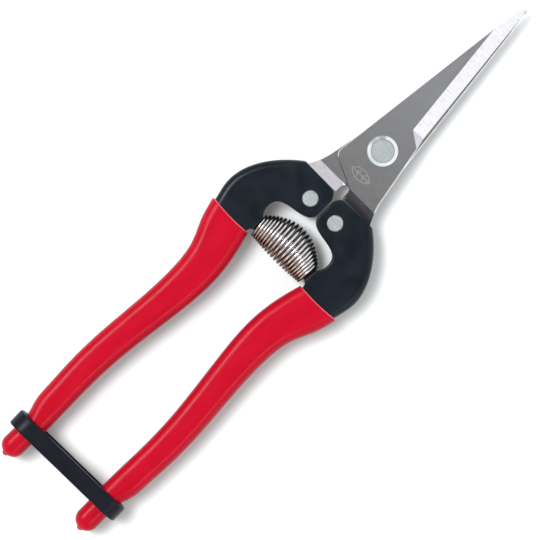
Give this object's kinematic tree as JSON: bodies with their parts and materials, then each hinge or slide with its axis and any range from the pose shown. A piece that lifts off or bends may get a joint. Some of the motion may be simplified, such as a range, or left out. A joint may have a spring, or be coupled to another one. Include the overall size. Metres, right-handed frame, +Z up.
{
  "type": "floral snips",
  "caption": "Hand snips with slim straight blades on a riveted pivot, sleeved handles, a barrel return spring and a slip-off strap that keeps the handles closed.",
  "frame": {"origin": "centre of the box that holds the closed snips, on the surface they lie on, which is the flat underside of the closing strap", "axes": "+Z up from that surface and along the pivot, +Y along the tool towards the blade tips, +X across the handles"},
  "size_m": [0.0494, 0.1908, 0.0128],
  "materials": {
    "blade_steel": "satin ground flats, bright ground bevels",
    "collar_steel": "bright",
    "rivet_steel": "matte, ground flush",
    "handle_black": "satin black coating",
    "grip_red": "dipped soft vinyl, satin gloss",
    "spring_steel": "bright drawn wire",
    "strap_black": "satin"
  },
  "bodies": {
    "left_half": {"lower_blade": "blade_steel", "left_frame": "handle_black", "left_grip": "grip_red", "left_tang_rivet": "rivet_steel", "pivot_rivet": "rivet_steel", "front_collar": "collar_steel", "rear_collar": "collar_steel", "return_spring": "spring_steel"},
    "right_half": {"upper_blade": "blade_steel", "right_frame": "handle_black", "right_grip": "grip_red", "right_tang_rivet": "rivet_steel"},
    "strap": {"closing_strap": "strap_black"}
  },
  "joints": [
    {"name": "handle_open", "type": "hinge", "parent": "left_half", "child": "right_half", "pos_m": [0, 0.03915, 0.0064], "axis": [0, 0, 1], "range_deg": [0, 24], "stiffness_Nm_per_rad": 1, "springref_deg": 24.06, "deforming": ["return_spring", "closing_strap"]},
    {"name": "strap_slide", "type": "slide", "parent": "left_half", "child": "strap", "axis": [0, -1, 0], "range_m": [0, 0.041]}
  ],
  "couplings": [
    {"joint": "strap_slide", "follows": "handle_open", "m_per_rad": 0.095}
  ]
}
